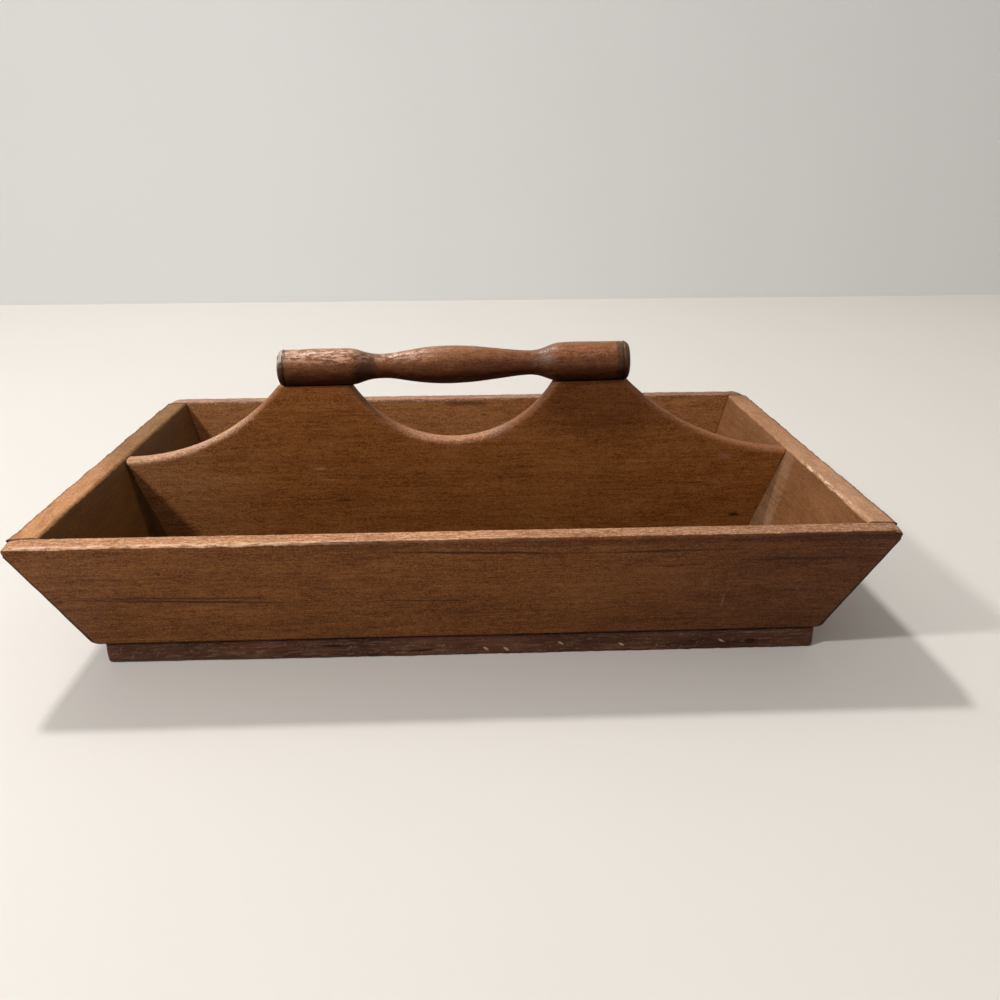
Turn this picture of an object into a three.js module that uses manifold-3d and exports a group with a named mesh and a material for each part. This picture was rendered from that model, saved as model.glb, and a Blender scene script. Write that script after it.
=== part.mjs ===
import * as THREE from 'three';
import { mergeVertices, toCreasedNormals } from 'three/addons/utils/BufferGeometryUtils.js';
import Module from 'manifold-3d';

// A wooden cutlery tote. Four splayed boards stand on a bottom board, and a shaped divider let into
// the two ends carries a turned handle on its two posts. Millimetres, +Z up, origin on the ground
// under the middle of the rim, +X along the tote.

// The box
const rimLength = 405.6;
const rimWidth = 260;
const rimHeight = 73.3;
const splay = 24.3; // how far the rim stands out past the foot, on every side
const longBoardLevel = 11; // thickness of a splayed long board, measured level
const endBoardLevel = 13.4; // the same of an end board
const bottomThickness = 11.3;
const bottomInset = 0.5; // how far the bottom's edge stays inside the foot of the long boards
const bottomEndInset = 3.4; // and inside the foot of the end boards
const bottomShift = 1.6; // the bottom was nailed on this far to the right
const joint = 0.3; // line left open in every joint

// Edges rounded by the plane and by wear
const cornerRound = 1.5;
const tipRound = 3.8; // the same corners at the rim, where they are worn most
const tipDepth = 8; // how far under the rim the corners start to be worn to this
const outerArris = 1.5;
const innerArris = 1.2;
const bottomArris = 1.2;
const bottomCornerRound = 3;

// The divider: two hollow shoulders rise to the posts, and a crescent between them is the hand hole
const dividerThickness = 11;
const dividerEndHeight = 71.8;
const dividerArris = 3;
const housingDepth = 3;
const housingTop = 61; // the housings stop here, and above them the divider butts against the ends
const leftShoulder = { centre: -189.5, radius: 118.1 };
const rightShoulder = { centre: 196.2, radius: 143.7 };
const crescentCentre = -3.2;
const crescentRadius = 65.6;
const crescentBottom = 81.3;

// The handle, turned in one piece by eye, so its halves differ; stations are [distance to the right
// of its middle, radius]
const handleCentre = -1.9;
const handleAxisHeight = 123.2;
const handleHalf = 97.7;
const handleTilt = 0.6 * (Math.PI / 180); // its right end sits this much higher
const leftBarrel = 10.2;
const rightBarrel = 10.9;
const barrelSwell = 0.2; // how much fuller a barrel is at its middle
const leftStations = [[-92, leftBarrel], [-75, leftBarrel + barrelSwell], [-58, leftBarrel]];
const leftNeckStations = [[-54, 9.6], [-50, 8.3], [-46, 7.3], [-41, 6.9], [-35, 7.1]];
const swellStations = [[-26, 8.5], [-15, 10], [-4, 10.6], [7, 10.2], [18, 9.2], [30, 7.8]];
const rightNeckStations = [[41, 6.9], [46, 7.3], [50, 8.5], [54, 10]];
const rightStations = [[58, rightBarrel], [75, rightBarrel + barrelSwell], [92, rightBarrel]];
const scribedLine = 4.6; // from each end of the handle
const scribedDepth = 0.4;
const endRound = 3;
const endDome = 0.8;

// Fixings
const dowelRadius = 3;
const dowelLength = 26;
const dowelInHandle = 10;
const dowelSpread = 78; // from the handle's middle to each dowel
const brad = { length: 24, shank: 0.8, head: 1.15, headThickness: 0.8 };
const cutNail = { length: 27, shank: 1, head: 2, headThickness: 1 };
const nailSunk = 1; // how far a head is set below the wood
const nailClearance = 0.3;

// Levels and half sizes that follow from the above
const foot = bottomThickness + joint;
const sideRise = rimHeight - foot;
const lean = splay / sideRise;
const halfLength = rimLength / 2;
const halfWidth = rimWidth / 2;
const crescentHeight = crescentBottom + crescentRadius;
const past = 20; // how far a cutting block runs past what it cuts
const creaseAngle = Math.PI / 7; // faces that meet at less than this are one smooth surface

const X = new THREE.Vector3(1, 0, 0);
const Y = new THREE.Vector3(0, 1, 0);
const Z = new THREE.Vector3(0, 0, 1);

const wood = {
  boards: new THREE.MeshStandardMaterial({ color: 0x7a4a26, roughness: 0.5, metalness: 0 }),
  bottom: new THREE.MeshStandardMaterial({ color: 0x5a3022, roughness: 0.75, metalness: 0 }),
  divider: new THREE.MeshStandardMaterial({ color: 0x70421f, roughness: 0.45, metalness: 0 }),
  handle: new THREE.MeshStandardMaterial({ color: 0x7d4524, roughness: 0.32, metalness: 0 }),
  dowel: new THREE.MeshStandardMaterial({ color: 0xa67c4e, roughness: 0.7, metalness: 0 }),
};
const iron = new THREE.MeshStandardMaterial({ color: 0x2b2320, roughness: 0.7, metalness: 0.8 });

const manifold = await Module();
manifold.setup();

// Closed solid from a three.js geometry, and back
function toSolid(geometry) {
  const bare = geometry.clone();
  bare.deleteAttribute('normal');
  bare.deleteAttribute('uv');
  const merged = mergeVertices(bare, 1e-4);
  return new manifold.Manifold(new manifold.Mesh({
    numProp: 3,
    vertProperties: Float32Array.from(merged.attributes.position.array),
    triVerts: Uint32Array.from(merged.index.array),
  }));
}

function toGeometry(solid) {
  const { vertProperties, triVerts } = solid.getMesh();
  const geometry = new THREE.BufferGeometry();
  geometry.setAttribute('position', new THREE.BufferAttribute(vertProperties, 3));
  geometry.setIndex(new THREE.BufferAttribute(triVerts, 1));
  return toCreasedNormals(geometry, creaseAngle);
}

// An upright outline of [across, height], drawn out level along the third direction about its middle
function drawAlong(shape, direction, length, options = {}) {
  const geometry = new THREE.ExtrudeGeometry(shape, {
    depth: length,
    bevelEnabled: false,
    curveSegments: 3,
    ...options,
  });
  geometry.translate(0, 0, -length / 2);
  const across = direction === X ? Y : X;
  const out = new THREE.Vector3().crossVectors(across, Z);
  return geometry.applyMatrix4(new THREE.Matrix4().makeBasis(across, Z, out));
}

function outline(points) {
  return new THREE.Shape(points.map(([across, height]) => new THREE.Vector2(across, height)));
}

function levelRectangle(length, width, radius) {
  const x = length / 2;
  const y = width / 2;
  const shape = new THREE.Shape();
  shape.absarc(x - radius, y - radius, radius, 0, Math.PI / 2);
  shape.absarc(-x + radius, y - radius, radius, Math.PI / 2, Math.PI);
  shape.absarc(-x + radius, -y + radius, radius, Math.PI, Math.PI * 1.5);
  shape.absarc(x - radius, -y + radius, radius, Math.PI * 1.5, Math.PI * 2);
  return shape;
}

// The outside of the finished box, planed flush: a level rectangle that grows from the foot to the
// rim. Its corners are rounder at the rim, and its last rings are drawn in round the outer arris.
function boxOutside() {
  const arrisSteps = 3;
  const firstArrisRing = 2;
  const steps = firstArrisRing + arrisSteps;
  const geometry = new THREE.ExtrudeGeometry(levelRectangle(rimLength, rimWidth, cornerRound), {
    depth: steps,
    steps,
    bevelEnabled: false,
    curveSegments: 2,
  });
  const ringAt = (ring) => {
    if (ring < firstArrisRing) {
      const height = ring === 0 ? foot : rimHeight - tipDepth;
      return { height, inset: (rimHeight - height) * lean, radius: cornerRound };
    }
    const turn = ((ring - firstArrisRing) / arrisSteps) * (Math.PI / 2);
    const height = rimHeight - outerArris * (1 - Math.sin(turn));
    const inset = (rimHeight - height) * lean + outerArris * (1 - Math.cos(turn));
    return { height, inset, radius: tipRound };
  };
  const drawnIn = (across, half, { inset, radius }) => {
    const outward = (Math.abs(across) - (half - cornerRound)) / cornerRound;
    return Math.sign(across) * (half - inset - radius * (1 - outward));
  };
  const place = geometry.attributes.position;
  for (let i = 0; i < place.count; i += 1) {
    const ring = ringAt(Math.round(place.getZ(i)));
    place.setX(i, drawnIn(place.getX(i), halfLength, ring));
    place.setY(i, drawnIn(place.getY(i), halfWidth, ring));
    place.setZ(i, ring.height);
  }
  return toSolid(geometry);
}

// Everything outside one board's inner face, with that face's top edge eased
function outsideOfFace(halfAtRim, thickness) {
  const inner = halfAtRim - thickness;
  const shape = new THREE.Shape();
  shape.moveTo(inner - lean * (sideRise + past), foot - past);
  shape.lineTo(halfAtRim + past, foot - past);
  shape.lineTo(halfAtRim + past, rimHeight + past);
  shape.lineTo(inner + innerArris, rimHeight + past);
  shape.lineTo(inner + innerArris, rimHeight);
  shape.quadraticCurveTo(inner, rimHeight, inner - lean * innerArris, rimHeight - innerArris);
  shape.closePath();
  return shape;
}

// A block between two leaning planes, each this far out at the rim and at the foot
function betweenFaces(halfAtRim, direction, length, floor = foot - past, ceiling = rimHeight + past) {
  const at = (height) => halfAtRim - (rimHeight - height) * lean;
  return toSolid(drawAlong(outline([
    [-at(floor), floor],
    [at(floor), floor],
    [at(ceiling), ceiling],
    [-at(ceiling), ceiling],
  ]), direction, length));
}

// Nails and their holes point along -Z and start at the origin, with the head at the top
function nailProfile({ length, shank, head, headThickness }, grow, reach) {
  return [
    [0, -length - grow],
    [shank * 0.6 + grow, -length - grow],
    [shank + grow, -headThickness - grow],
    [head + grow, -headThickness - grow],
    [head + grow, reach],
    [0, reach],
  ].map(([radius, height]) => new THREE.Vector2(radius, height));
}

function turned(profile, sides) {
  return new THREE.LatheGeometry(profile, sides).rotateX(Math.PI / 2);
}

const tote = new THREE.Group();

function addPiece(name, geometry, material) {
  const mesh = new THREE.Mesh(geometry, material);
  mesh.name = name;
  tote.add(mesh);
  return mesh;
}

// One nail with its head sunk under the point where it is driven, and the hole that it makes
function driveNail(name, kind, point, inward) {
  const nail = addPiece(name, turned(nailProfile(kind, 0, 0), 4), iron);
  nail.quaternion.setFromUnitVectors(Z, inward.clone().normalize().negate());
  nail.position.copy(point).addScaledVector(inward.clone().normalize(), nailSunk);
  nail.updateMatrix();
  return toSolid(turned(nailProfile(kind, nailClearance, past / 4), 8).applyMatrix4(nail.matrix));
}

// Corner brads run through the long boards into the end boards, and follow the end's lean
function cornerBrads() {
  const holes = [];
  const inFromEnd = endBoardLevel / 2;
  for (const [side, ySign] of [['front', -1], ['back', 1]]) {
    for (const [end, xSign] of [['left', -1], ['right', 1]]) {
      [0.16, 0.46, 0.76].forEach((share, row) => {
        const height = foot + share * sideRise;
        const inset = (rimHeight - height) * lean;
        const point = new THREE.Vector3(
          xSign * (halfLength - inset - inFromEnd),
          ySign * (halfWidth - inset),
          height,
        );
        const inward = new THREE.Vector3(xSign * lean * lean, -ySign, lean);
        holes.push(driveNail(`corner_brad_${side}_${end}_${row + 1}`, brad, point, inward));
      });
    }
  }
  return holes;
}

// Nails up through the bottom into the feet of the four sides, leaning with them
function bottomNails() {
  const holes = [];
  const footX = halfLength - splay - endBoardLevel / 2;
  const footY = halfWidth - splay - longBoardLevel / 2;
  const drop = foot * lean;
  for (const [side, ySign] of [['front', -1], ['back', 1]]) {
    [-0.84, -0.28, 0.28, 0.84].forEach((share, index) => {
      const point = new THREE.Vector3(share * footX, ySign * (footY - drop), 0);
      const inward = new THREE.Vector3(0, ySign * lean, 1);
      holes.push(driveNail(`bottom_nail_${side}_${index + 1}`, cutNail, point, inward));
    });
  }
  for (const [end, xSign] of [['left', -1], ['right', 1]]) {
    [-0.5, 0.5].forEach((share, index) => {
      const point = new THREE.Vector3(xSign * (footX - drop), share * footY, 0);
      const inward = new THREE.Vector3(xSign * lean, 0, 1);
      holes.push(driveNail(`bottom_nail_${end}_${index + 1}`, cutNail, point, inward));
    });
  }
  return holes;
}

// The divider is nailed through both ends and from below
function dividerNails() {
  const holes = [];
  for (const [end, xSign] of [['left', -1], ['right', 1]]) {
    [0.25, 0.65].forEach((share, index) => {
      const height = foot + share * sideRise;
      const point = new THREE.Vector3(xSign * (halfLength - (rimHeight - height) * lean), 0, height);
      const inward = new THREE.Vector3(-xSign, 0, lean / 2);
      holes.push(driveNail(`divider_nail_${end}_${index + 1}`, brad, point, inward));
    });
  }
  [-110, 0, 110].forEach((x, index) => {
    holes.push(driveNail(`divider_nail_bottom_${index + 1}`, cutNail, new THREE.Vector3(x, 0, 0), Z));
  });
  return holes;
}

// A dowel stands in each post and in the barrel over it, blind in both
function handleDowels() {
  const profile = (grow) => [
    [0, -grow],
    [dowelRadius * 0.75 + grow, -grow],
    [dowelRadius + grow, dowelRadius * 0.3],
    [dowelRadius + grow, dowelLength - dowelRadius * 0.3],
    [dowelRadius * 0.75 + grow, dowelLength + grow],
    [0, dowelLength + grow],
  ].map(([radius, height]) => new THREE.Vector2(radius, height));
  const places = [['left', -dowelSpread, leftBarrel], ['right', dowelSpread, rightBarrel]];
  return places.map(([end, along, barrel]) => {
    const dowel = addPiece(`handle_dowel_${end}`, turned(profile(0), 16), wood.dowel);
    const barrelFoot = handleAxisHeight + along * Math.sin(handleTilt) - barrel;
    dowel.position.set(handleCentre + along, 0, barrelFoot + dowelInHandle - dowelLength);
    dowel.updateMatrix();
    return toSolid(turned(profile(joint), 16).applyMatrix4(dowel.matrix));
  });
}

function cutAll(blank, cutters) {
  return cutters.reduce((solid, cutter) => solid.subtract(cutter), blank);
}

function bottomBoard() {
  const length = 2 * (halfLength - splay - bottomEndInset - bottomArris);
  const width = 2 * (halfWidth - splay - bottomInset - bottomArris);
  const geometry = new THREE.ExtrudeGeometry(levelRectangle(length, width, bottomCornerRound), {
    depth: bottomThickness - 2 * bottomArris,
    bevelThickness: bottomArris,
    bevelSize: bottomArris,
    bevelSegments: 3,
    curveSegments: 3,
  });
  return toSolid(geometry.translate(bottomShift, 0, bottomArris));
}

function longBoard(outside, ySign) {
  const blank = drawAlong(outsideOfFace(halfWidth, longBoardLevel), X, rimLength + past);
  if (ySign < 0) blank.rotateZ(Math.PI);
  return outside.intersect(toSolid(blank));
}

// An end board stands between the long boards and is let in to take the divider's end
function endBoard(outside, xSign) {
  const blank = drawAlong(outsideOfFace(halfLength, endBoardLevel), Y, rimWidth + past);
  if (xSign < 0) blank.rotateZ(Math.PI);
  const between = betweenFaces(halfWidth - longBoardLevel - joint, X, rimLength + past);
  const housing = betweenFaces(
    halfLength - endBoardLevel + housingDepth,
    Y,
    dividerThickness + 2 * joint,
    foot - past,
    housingTop + joint,
  );
  return outside.intersect(toSolid(blank)).intersect(between).subtract(housing);
}

function dividerOutline() {
  const reach = halfLength + past;
  const crescentTurn = Math.asin((crescentHeight - handleAxisHeight) / crescentRadius);
  const crescentEnd = -Math.PI + crescentTurn;
  const down = -Math.PI / 2;
  // how far a shoulder's arc turns on its way from the level up to the handle's axis
  const turnOf = ({ radius }) => Math.acos((dividerEndHeight + radius - handleAxisHeight) / radius);
  const shape = new THREE.Shape();
  shape.moveTo(-reach, foot - past);
  shape.lineTo(reach, foot - past);
  shape.lineTo(reach, dividerEndHeight);
  const { centre: rightCentre, radius: rightRadius } = rightShoulder;
  const rightEnd = down - turnOf(rightShoulder);
  shape.absarc(rightCentre, dividerEndHeight + rightRadius, rightRadius, down, rightEnd, true);
  shape.absarc(crescentCentre, crescentHeight, crescentRadius, -crescentTurn, crescentEnd, true);
  const { centre: leftCentre, radius: leftRadius } = leftShoulder;
  const leftStart = down + turnOf(leftShoulder);
  shape.absarc(leftCentre, dividerEndHeight + leftRadius, leftRadius, leftStart, down, true);
  shape.lineTo(-reach, dividerEndHeight);
  shape.closePath();
  return shape;
}

// The divider's ends lie in the end boards' stopped housings, its upper corners stop at their faces,
// and its posts are hollowed to fit the barrels
function divider(dowelHoles, nailHoles) {
  const blank = toSolid(drawAlong(dividerOutline(), Y, dividerThickness - 2 * dividerArris, {
    bevelEnabled: true,
    bevelThickness: dividerArris,
    bevelSize: dividerArris,
    bevelOffset: -dividerArris,
    bevelSegments: 3,
    curveSegments: 10,
  }));
  const endFaces = halfLength - endBoardLevel - joint;
  const betweenEnds = betweenFaces(endFaces, Y, rimWidth, foot, handleAxisHeight + past);
  const betweenHousings = betweenFaces(endFaces + housingDepth, Y, rimWidth, foot, housingTop);
  const room = betweenEnds.add(betweenHousings);
  const seats = [[-halfLength, leftBarrel], [halfLength, rightBarrel]].map(([reach, barrel]) => {
    const radius = barrel + barrelSwell + joint;
    const seat = new THREE.CylinderGeometry(radius, radius, halfLength, 48)
      .rotateZ(Math.PI / 2)
      .translate(reach / 2, 0, 0);
    return toSolid(setHandle(seat));
  });
  return cutAll(blank.intersect(room), [...seats, ...dowelHoles, ...nailHoles]);
}

// Moves a shape made about the handle's middle to its place on the posts
function setHandle(geometry) {
  return geometry.rotateY(-handleTilt).translate(handleCentre, 0, handleAxisHeight);
}

// The outer end of a barrel, from its scribed line to the middle of its end face
function barrelEnd(barrel) {
  const scribe = handleHalf - scribedLine;
  const end = [
    new THREE.Vector2(scribe - 0.6, barrel),
    new THREE.Vector2(scribe, barrel - scribedDepth),
    new THREE.Vector2(scribe + 0.6, barrel),
  ];
  const roundSteps = 3;
  for (let i = 1; i <= roundSteps; i += 1) {
    const turn = (i / roundSteps) * (Math.PI / 2);
    end.push(new THREE.Vector2(
      handleHalf - endDome - endRound * (1 - Math.sin(turn)),
      barrel - endRound * (1 - Math.cos(turn)),
    ));
  }
  return [...end, new THREE.Vector2(handleHalf, 0)];
}

function handle(dowelHoles) {
  const stations = [
    ...leftStations,
    ...leftNeckStations,
    ...swellStations,
    ...rightNeckStations,
    ...rightStations,
  ].map(([along, radius]) => new THREE.Vector2(along, radius));
  const body = new THREE.SplineCurve(stations).getPoints(48);
  const left = barrelEnd(leftBarrel).reverse().map((point) => new THREE.Vector2(-point.x, point.y));
  const profile = [...left, ...body, ...barrelEnd(rightBarrel)]
    .map((point) => new THREE.Vector2(point.y, point.x));
  const geometry = new THREE.LatheGeometry(profile, 28).rotateZ(-Math.PI / 2);
  return cutAll(toSolid(setHandle(geometry)), dowelHoles);
}

const outside = boxOutside();
const bradHoles = cornerBrads();
const bottomHoles = bottomNails();
const dividerHoles = dividerNails();
const dowelHoles = handleDowels();

addPiece('bottom_board', toGeometry(cutAll(bottomBoard(), [...bottomHoles, ...dividerHoles])), wood.bottom);
for (const [name, ySign] of [['front_board', -1], ['back_board', 1]]) {
  const board = cutAll(longBoard(outside, ySign), [...bradHoles, ...bottomHoles]);
  addPiece(name, toGeometry(board), wood.boards);
}
for (const [name, xSign] of [['left_end', -1], ['right_end', 1]]) {
  const board = cutAll(endBoard(outside, xSign), [...bradHoles, ...bottomHoles, ...dividerHoles]);
  addPiece(name, toGeometry(board), wood.boards);
}
addPiece('divider', toGeometry(divider(dowelHoles, dividerHoles)), wood.divider);
addPiece('handle', toGeometry(handle(dowelHoles)), wood.handle);

export default tote;
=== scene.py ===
import math

import bmesh
import bpy
from mathutils import Euler, Matrix, Vector


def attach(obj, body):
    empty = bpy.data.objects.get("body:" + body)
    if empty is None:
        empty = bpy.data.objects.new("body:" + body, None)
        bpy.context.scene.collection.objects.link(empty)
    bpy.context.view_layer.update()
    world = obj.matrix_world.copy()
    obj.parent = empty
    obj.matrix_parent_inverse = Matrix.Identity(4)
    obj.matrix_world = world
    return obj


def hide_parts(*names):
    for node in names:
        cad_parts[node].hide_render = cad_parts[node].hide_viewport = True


# An old wooden cutlery tote: four splayed boards on a bottom board, with a shaped divider along the
# middle that carries a turned handle. Metres, +Z up, +X along the tote.
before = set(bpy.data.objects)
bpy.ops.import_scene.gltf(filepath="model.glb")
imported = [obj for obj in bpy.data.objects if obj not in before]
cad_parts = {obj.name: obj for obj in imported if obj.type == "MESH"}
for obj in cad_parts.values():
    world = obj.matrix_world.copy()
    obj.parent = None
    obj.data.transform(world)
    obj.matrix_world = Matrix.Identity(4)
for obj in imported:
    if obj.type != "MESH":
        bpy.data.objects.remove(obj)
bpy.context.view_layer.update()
bpy.ops.object.select_all(action='DESELECT')
mm = 0.001


# Bottom board
# One flat board of a redder wood, nailed on from below under the feet of the four sides. Its sawn
# edge was never cleaned up and shows as a rough, scuffed band under the front.

bottom_thickness = 11.3 * mm
bottom_half = (175.6 * mm, 105.2 * mm)
bottom_shift = 1.2 * mm
bottom_corner = 4.2 * mm
bottom_arris = 1.2 * mm
nail_hole = 2.25 * mm
nail_hole_depth = 1.5 * mm
slack = 0.1 * mm


def sawn_block(name, low, high):
    """A squared block between two corners, with its place in its mesh."""
    low, high = Vector(low), Vector(high)
    bpy.ops.object.select_all(action='DESELECT')
    bpy.ops.mesh.primitive_cube_add(size=1, location=(low + high) / 2)
    block = bpy.context.object
    block.scale = high - low
    bpy.ops.object.transform_apply(location=True, rotation=True, scale=True)
    block.name = block.data.name = name
    return block


def rod(name, radius, length, centre, turn, sides):
    """A round rod about a centre; unturned it stands upright."""
    bpy.ops.object.select_all(action='DESELECT')
    bpy.ops.mesh.primitive_cylinder_add(vertices=sides, radius=radius, depth=length,
                                        location=centre, rotation=turn)
    made = bpy.context.object
    bpy.ops.object.transform_apply(location=True, rotation=True, scale=True)
    made.name = made.data.name = name
    return made


def pick(piece, kind, test):
    """Selects the vertices, edges or faces of a piece in edit mode that pass a test."""
    bpy.ops.mesh.select_mode(type={'verts': 'VERT', 'edges': 'EDGE', 'faces': 'FACE'}[kind])
    bpy.ops.mesh.select_all(action='DESELECT')
    mesh = bmesh.from_edit_mesh(piece.data)
    for part in getattr(mesh, kind):
        if test(part):
            part.select_set(True)
    mesh.select_flush_mode()
    bmesh.update_edit_mesh(piece.data)


def middle(edge):
    return (edge.verts[0].co + edge.verts[1].co) / 2


def run(edge):
    """How far an edge goes along x, y and z."""
    return Vector(map(abs, edge.verts[1].co - edge.verts[0].co))


def score(point, normal):
    """Cuts an edge round all of the piece where a plane passes through it."""
    bpy.ops.mesh.select_all(action='SELECT')
    bpy.ops.mesh.bisect(plane_co=point, plane_no=normal, threshold=1e-7)


def round_edges(radius, segments):
    bpy.ops.mesh.bevel(offset=radius, segments=segments, affect='EDGES', clamp_overlap=False)


def divide(piece, axis, lengths, cuts, where=lambda p: True):
    """Divides the edges that run along an axis, are this long and have their middle there."""
    pick(piece, 'edges', lambda e: lengths[0] < run(e)[axis] < lengths[1]
         and run(e)[axis] > 0.98 * run(e).length and where(middle(e)))
    bpy.ops.mesh.subdivide(number_cuts=cuts)


def take_up(piece):
    """Makes one piece the only one selected, and the active one."""
    bpy.ops.object.select_all(action='DESELECT')
    bpy.context.view_layer.objects.active = piece
    piece.select_set(True)


def weigh(piece, name, share):
    """A vertex group that holds each point by the share that a function of its place gives."""
    group = piece.vertex_groups.new(name=name)
    for vertex in piece.data.vertices:
        weight = min(share(vertex.co), 1)
        if weight > 0:
            group.add([vertex.index], weight, 'REPLACE')
    return group.name


def wear(piece, size, depth, group="", contrast=1.0, along='NORMAL'):
    """Takes wood off in soft patches of this size, and adds none anywhere."""
    cloud = bpy.data.textures.new(piece.name + " wear", 'CLOUDS')
    cloud.noise_scale = size
    cloud.noise_depth = 2
    cloud.contrast = contrast
    cloud.use_clamp = True
    worn = piece.modifiers.new("wear", 'DISPLACE')
    worn.texture = cloud
    worn.texture_coords = 'LOCAL'
    worn.direction = along
    worn.mid_level = 1
    worn.strength = depth
    worn.vertex_group = group
    take_up(piece)
    bpy.ops.object.modifier_apply(modifier=worn.name)


def bore(piece, cutter, *more):
    """Takes the shapes of cutters that don't touch out of the piece, and the cutters away."""
    if more:
        take_up(cutter)
        for other in more:
            other.select_set(True)
        bpy.ops.object.join()
    cut = piece.modifiers.new("bore", 'BOOLEAN')
    cut.object = cutter
    cut.solver = 'MANIFOLD'
    take_up(piece)
    bpy.ops.object.modifier_apply(modifier=cut.name)
    bpy.data.objects.remove(cutter)


def finish_piece(piece, material, slot, *nodes):
    """Smooths a piece, gives it its finish and puts it in the place of its CAD nodes."""
    take_up(piece)
    bpy.ops.object.shade_smooth_by_angle(angle=math.radians(32))
    piece.data.materials.clear()
    piece.data.materials.append(material)
    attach(piece, "root")
    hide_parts(*nodes)


class Tone:
    """A value or colour of a finish. Sums and products of values add their Math nodes."""

    def __init__(self, tree, socket=None):
        self.tree = tree
        self.socket = socket

    def node(self, kind, settings=None, inputs=None, output=0):
        made = self.tree.nodes.new("ShaderNode" + kind)
        for name, value in (settings or {}).items():
            if name == "stops":
                stops = made.color_ramp.elements
                while len(stops) < len(value):
                    stops.new(0.5)
                for stop, (place, colour) in zip(stops, value):
                    stop.position = place
                    stop.color = (*colour, 1)
            else:
                setattr(made, name, value)
        for key, value in (inputs or {}).items():
            if isinstance(value, Tone):
                self.tree.links.new(value.socket, made.inputs[key])
            else:
                made.inputs[key].default_value = value
        return Tone(self.tree, made.outputs[output])

    def math(self, operation, first, second):
        return self.node("Math", {"operation": operation}, {0: first, 1: second})

    def __add__(self, other):
        return self.math('ADD', self, other)

    __radd__ = __add__

    def __sub__(self, other):
        return self.math('SUBTRACT', self, other)

    def __rsub__(self, other):
        return self.math('SUBTRACT', other, self)

    def __mul__(self, other):
        return self.math('MULTIPLY', self, other)

    __rmul__ = __mul__

    def between(self, low, high):
        """0 at low and 1 at high, with a soft step from one to the other."""
        if low > high:
            return 1 - self.between(high, low)
        return self.node("MapRange", {"interpolation_type": 'SMOOTHSTEP'},
                         {"Value": self, "From Min": low, "From Max": high})

    def mix(self, first, second, blend='MIX'):
        """The first colour where this value is 0, and the second where it is 1."""
        first, second = (c if isinstance(c, Tone) else (*c, 1) for c in (first, second))
        return self.node("Mix", {"data_type": 'RGBA', "blend_type": blend},
                         {0: self, 6: first, 7: second}, output=2)

    def tint(self, share, by):
        """This colour, multiplied by another one as far as a share from 0 to 1 goes."""
        return share.mix(self, by, 'MULTIPLY')

    def axis(self, index):
        return self.node("SeparateXYZ", None, {0: self}, output=index)

    def size(self):
        """This value without its sign."""
        return self.node("Math", {"operation": 'ABSOLUTE'}, {0: self})

    def turned(self, turn):
        """This place with the grain turned to lie along x."""
        return self.node("Mapping", None, {"Vector": self, "Rotation": turn})


def start_finish(name):
    """A new material, and the place on the wood in millimetres."""
    material = bpy.data.materials.new(name)
    material.use_nodes = True
    tree = material.node_tree
    tree.nodes.remove(tree.nodes["Principled BSDF"])
    start = Tone(tree)
    where = start.node("TexCoord", output="Object")
    return material, start.node("VectorMath", {"operation": 'SCALE'},
                                {"Vector": where, "Scale": 1 / mm})


def streaks(place, length, width, seed, detail=2.0):
    """Grain from 0 to 1, in streaks that are about this long and wide in millimetres."""
    drawn_out = place.node("Mapping", None, {
        "Vector": place,
        "Location": (seed * 7.3, seed * 3.1, seed * 11.7),
        "Scale": (1 / length, 1 / width, 1 / width),
    })
    return place.node("TexNoise", None, {"Vector": drawn_out, "Scale": 1.0, "Detail": detail,
                                         "Roughness": 0.6})


def wander(place, reach, length, seed):
    """The same place, with its grain wandering by up to this many millimetres."""
    drift = streaks(place, length, length / 3, seed) * (2 * reach) - reach
    aside = place.node("CombineXYZ", None, {"Y": drift, "Z": drift})
    return place.node("VectorMath", {"operation": 'ADD'}, {0: place, 1: aside})


def mark(place, centre, reach, core=0.4, tilt=0.0):
    """An oval mark: 1 in its core and 0 past its reach along x, y and z."""
    offset = place.node("Mapping", {"vector_type": 'TEXTURE'}, {
        "Vector": place, "Location": centre, "Scale": reach, "Rotation": (0, tilt, 0)})
    distance = place.node("VectorMath", {"operation": 'LENGTH'}, {"Vector": offset}, "Value")
    return distance.between(1, core)


def surface(material, colour, roughness, height, sheen=0.12, metal=0.0):
    """Ends a finish with its colour, roughness and relief, a height in millimetres."""
    relief = colour.node("Bump", None, {"Height": height, "Distance": mm, "Strength": 1.0})
    shell = colour.node("BsdfPrincipled", None, {
        "Base Color": colour,
        "Roughness": roughness,
        "Metallic": metal,
        "Specular IOR Level": sheen,
        "Normal": relief,
    })
    tree = material.node_tree
    tree.links.new(shell.socket, tree.nodes["Material Output"].inputs[0])


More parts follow.
